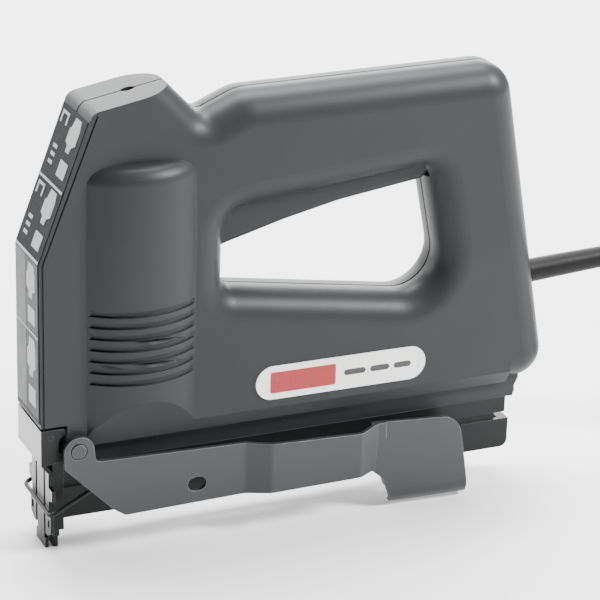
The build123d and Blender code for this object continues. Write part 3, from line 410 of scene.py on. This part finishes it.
# the shapes in one panel, as parts of its width and height
PACK = [
    (0.60, 0.46), (0.74, 0.46), (0.76, 0.55), (0.87, 0.60), (0.87, 0.80), (0.82, 0.93), (0.60, 0.93),
    (0.56, 0.80), (0.50, 0.76), (0.50, 0.58), (0.60, 0.55),
]
PACK_END = [(0.56, 0.12), (0.86, 0.12), (0.86, 0.34), (0.56, 0.34)]
STAPLE = [
    (0.08, 0.74), (0.13, 0.74), (0.13, 0.87), (0.30, 0.87), (0.30, 0.74), (0.35, 0.74), (0.35, 0.91),
    (0.08, 0.91),
]
TICKS = [(0.18, 0.23), (0.29, 0.34), (0.40, 0.45)]


def on_strip(across, up, proud):
    """A point on the strip: across from its left edge, up from the bend."""
    out = STRIP_T + proud
    y = STRIP_Y - across
    if up < 0:
        return at(-out, y, BEND_Z + up)
    x = up * math.sin(LEAN) - out * math.cos(LEAN)
    return at(x, y, BEND_Z + up * math.cos(LEAN) + out * math.sin(LEAN))


def panel_shapes(foot, height, with_marks):
    """A pack of staples over its end view, with a staple and three ticks beside them, in one panel."""
    width = 2 * STRIP_Y

    def spot(u, v):
        return Vector((u * width, foot + v * height))

    shapes = [rounded([spot(*p) for p in PACK], 0.3), rounded([spot(*p) for p in PACK_END], 0.4)]
    if with_marks:
        shapes.append([spot(*p) for p in STAPLE])
        for low, high in TICKS:
            shapes.append([spot(*p) for p in ((0.14, low), (0.30, low), (0.30, high), (0.14, high))])
    return shapes


def bar(x0, x1, z0, z1):
    return [Vector(p) for p in ((x0, z0), (x1, z0), (x1, z1), (x0, z1))]


def add_front_strip():
    """Four panels: two on the leaning part and two below, with lines between them and tinted columns."""
    width = 2 * STRIP_Y
    right = width - 2 * FRAME_LINE
    left_end, right_start = (part * width for part in COLUMNS)
    foot = 0.6
    light = []
    for low, height, marks in (
        (foot, PANEL, True), (PANEL + foot, PANEL, True),
        (LOWER_DIVIDER, -LOWER_DIVIDER, False), (LOWER_END, LOWER_DIVIDER - LOWER_END, False),
    ):
        light += panel_shapes(low, height, marks)
    for low, high in ((PANEL - 0.5, PANEL + 0.5), (0.0, 1.1), (LOWER_DIVIDER - 0.5, LOWER_DIVIDER + 0.3)):
        light.append(bar(FRAME_LINE, right, low, high))
    film("front_strip_print", light, on_strip, STRIP_LIGHT)
    rows = ((LOWER_DIVIDER + 0.5, -0.4), (LOWER_END, LOWER_DIVIDER - 0.7))
    grey = [bar(right_start, right, low, high) for low, high in rows]
    film("front_strip_grey", grey, on_strip, STRIP_GREY, TINT_T)
    pale = [bar(FRAME_LINE, left_end, low, high) for low, high in rows]
    film("front_strip_pale", pale, on_strip, STRIP_PALE, TINT_T)


SIDE_BLOCK = (-32.4, -2.8, -4.7, 4.7)
SIDE_BARS = [(6.0, 10.0), (17.5, 9.0), (28.0, 8.0)]
BAR_HEIGHT = 2.6
LABEL_GAP = 0.01


def side_place(side):
    low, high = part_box("side_label_left" if side < 0 else "side_label_right")
    y = low[1] if side < 0 else high[1]
    middle = (low[0] + high[0]) / 2
    level = (low[2] + high[2]) / 2

    def place(u, v, proud):
        return Vector((middle - side * u / 1000, y + side * (proud + LABEL_GAP) / 1000, level + v / 1000))
    return place


def add_side_print():
    """A plain red block and plain dark bars stand where the label would carry a name."""
    for side, word in ((-1, "left"), (1, "right")):
        place = side_place(side)
        block = rounded(bar(*SIDE_BLOCK), 0.9)
        film("label_block_" + word, [block], place, LABEL_RED, TINT_T)
        bars = [capsule(middle, 0.0, length, BAR_HEIGHT) for middle, length in SIDE_BARS]
        film("label_bars_" + word, bars, place, LABEL_INK, TINT_T)


# ---------------------------------------------------------------- cord
CORD_D = 7.2
CORD_ROUTE = [
    (280.91, 0.0, 95.0), (302.88, 0.0, 96.22), (323.5, -4.5, 87.5), (341.0, -11.5, 71.0),
    (358.0, -19.0, 52.5), (376.5, -26.0, 37.0), (398.0, -29.5, 27.5), (419.0, -30.0, 25.2),
]
LEAD_ROUTE = [
    (423.5, 22.7, 25.3), (416.0, 22.1, 26.5), (400.5, 18.6, 31.0), (384.5, 13.5, 34.6), (369.0, 8.7, 35.65),
]
# middles of the hank's two folds, and the radius of its inner turns
FOLD_X = (371.6, 427.2)
FOLD_R = 22.8
FOLD_STEPS = 8
SIDE_STEPS = 6
# the eight strands in the hank's section, in wound order: across, up, and the place, in quarters of a turn,
# at which each starts to step over to the next
STRANDS = [
    (1, 3, 2.6), (1, 2, 2.6), (1, 1, 2.6), (1, 0, 1.8), (0, 0, 1.0), (0, 1, 1.0), (0, 2, 1.0), (0, 3, 1.0),
]
STEP_OVER = 1.0
TIE_PROUD = 0.9
TIE_HALF_WIDTHS = (4.2, 3.8)


def turn_quarters():
    """Where a turn has its control points: far fold, long side, near fold, the other long side."""
    fold = [(k + 0.5) / FOLD_STEPS for k in range(FOLD_STEPS)]
    side = [(k + 1) / (SIDE_STEPS + 1) for k in range(SIDE_STEPS)]
    return fold + [1 + q for q in side] + [2 + q for q in fold] + [3 + q for q in side]


def turn_place(q, r):
    """The level place of the control point at quarter q of a turn whose folds have the radius r."""
    half_step = math.pi / FOLD_STEPS / 2
    near_x, far_x = FOLD_X
    reach = r * math.tan(half_step)
    if int(q) in (0, 2):
        angle = math.pi * (q - 0.5) if q < 1 else math.pi * (q - 1.5)
        x = far_x if q < 1 else near_x
        return x + r * math.cos(angle) / math.cos(half_step), r * math.sin(angle) / math.cos(half_step)
    along = (q - int(q)) * (far_x - near_x + 2 * reach)
    return (far_x + reach - along, r) if q < 2 else (near_x - reach + along, -r)


def hank_points():
    """Control points of the tied hank: each turn keeps its place, then steps over to the next one."""
    points = []
    for k, (across, up, leaves) in enumerate(STRANDS):
        last = k == len(STRANDS) - 1
        next_across, next_up = (across, up) if last else STRANDS[k + 1][:2]
        for q in turn_quarters():
            if last and q > 1:
                break
            t = min(1.0, max(0.0, (q - leaves) / STEP_OVER))
            t = t * t * t * (6 * t * t - 15 * t + 10)
            x, y = turn_place(q, FOLD_R + (across + t * (next_across - across)) * CORD_D)
            points.append((x, y, CORD_D * (0.5 + up + t * (next_up - up))))
    return points


def add_cord():
    points = CORD_ROUTE + hank_points() + LEAD_ROUTE
    data = bpy.data.curves.new("mains_cord", "CURVE")
    data.dimensions = "3D"
    spline = data.splines.new("NURBS")
    spline.points.add(len(points) - 1)
    for place, point in zip(spline.points, points):
        place.co = (*at(*point), 1)
    spline.order_u = 3
    spline.use_endpoint_u = True
    data.resolution_u = 8
    data.bevel_depth = CORD_D / 2000
    data.bevel_resolution = 6
    data.use_fill_caps = True
    data.materials.append(CORD_RUBBER)
    cord = bpy.data.objects.new("mains_cord", data)
    bpy.context.collection.objects.link(cord)
    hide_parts("power_cord", "power_cord_coil", "plug_lead")
    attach(cord, "housing")


def add_cord_tie():
    """A flat band looped round the hank's far fold, pulled tight."""
    middle_x = FOLD_X[1] + FOLD_R + CORD_D / 2
    across = CORD_D
    up = 4 * CORD_D
    gap = 0.1
    loop = rounded([(-across, gap), (across, gap), (across, up), (-across, up)], CORD_D / 2, 6)
    across += TIE_PROUD
    up += TIE_PROUD
    outer = rounded([(-across, 0), (across, 0), (across, up), (-across, up)], CORD_D / 2 + TIE_PROUD, 6)
    mesh = bpy.data.meshes.new("cord_tie_band")
    bm = bmesh.new()
    rings = []
    for ring, width in zip((loop, outer), TIE_HALF_WIDTHS):
        for side in (-1, 1):
            rings.append([bm.verts.new(at(middle_x + u, side * width, v)) for u, v in ring])
    inner_a, inner_b, outer_a, outer_b = rings
    section = [inner_a, inner_b, outer_b, outer_a]
    for k in range(len(loop)):
        for first, second in zip(section, section[1:] + section[:1]):
            bm.faces.new((first[k - 1], first[k], second[k], second[k - 1]))
    bmesh.ops.recalc_face_normals(bm, faces=bm.faces)
    bm.to_mesh(mesh)
    bm.free()
    mesh.materials.append(TIE)
    band = bpy.data.objects.new("cord_tie_band", mesh)
    bpy.context.collection.objects.link(band)
    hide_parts("cord_tie")
    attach(band, "housing")


paint_cad()
add_camera()
add_stage()
add_cord_tie()
add_cord()
add_front_strip()
add_side_print()
